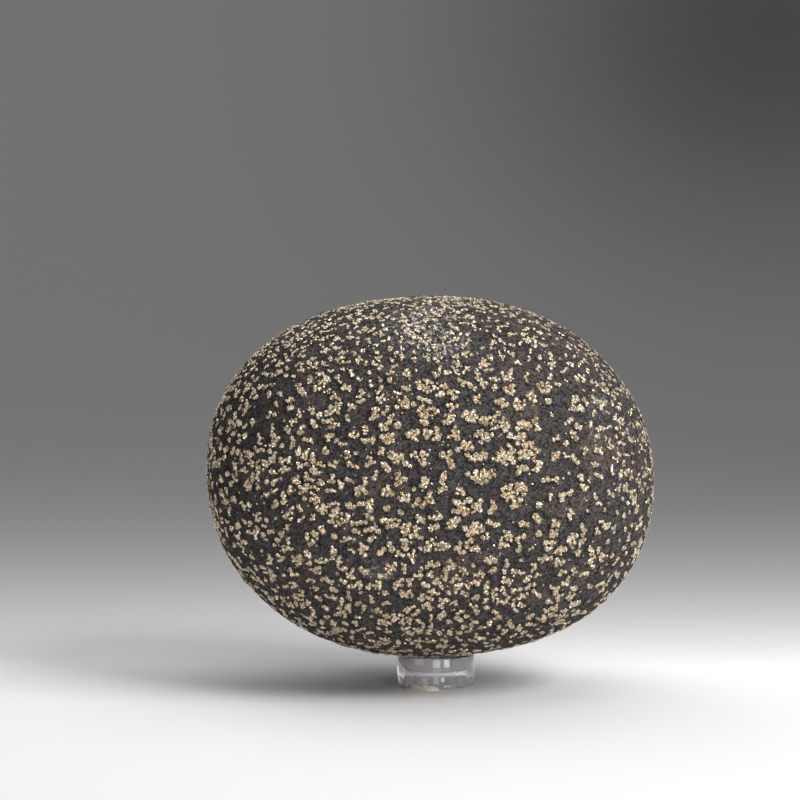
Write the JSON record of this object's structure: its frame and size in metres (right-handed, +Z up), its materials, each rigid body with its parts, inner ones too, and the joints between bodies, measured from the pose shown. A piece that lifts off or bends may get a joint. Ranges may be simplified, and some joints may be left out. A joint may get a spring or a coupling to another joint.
{
  "type": "pyrite concretion",
  "caption": "Oval dark stone studded with raised pale brass pyrite nodules, standing on its edge on a short clear acrylic ring.",
  "frame": {"origin": "on the surface that the ring stands on, under the middle of the stone's box", "axes": "+X along the stone's length, -Y out of its broad face towards the viewer, +Z up"},
  "size_m": [0.0922, 0.0624, 0.0806],
  "materials": {
    "dark_shale": "matte",
    "pyrite": "satin",
    "clear_acrylic": "gloss",
    "putty": "matte"
  },
  "bodies": {
    "root": {"concretion": "dark_shale", "ring_stand": "clear_acrylic", "putty_dab": "putty"}
  },
  "joints": []
}
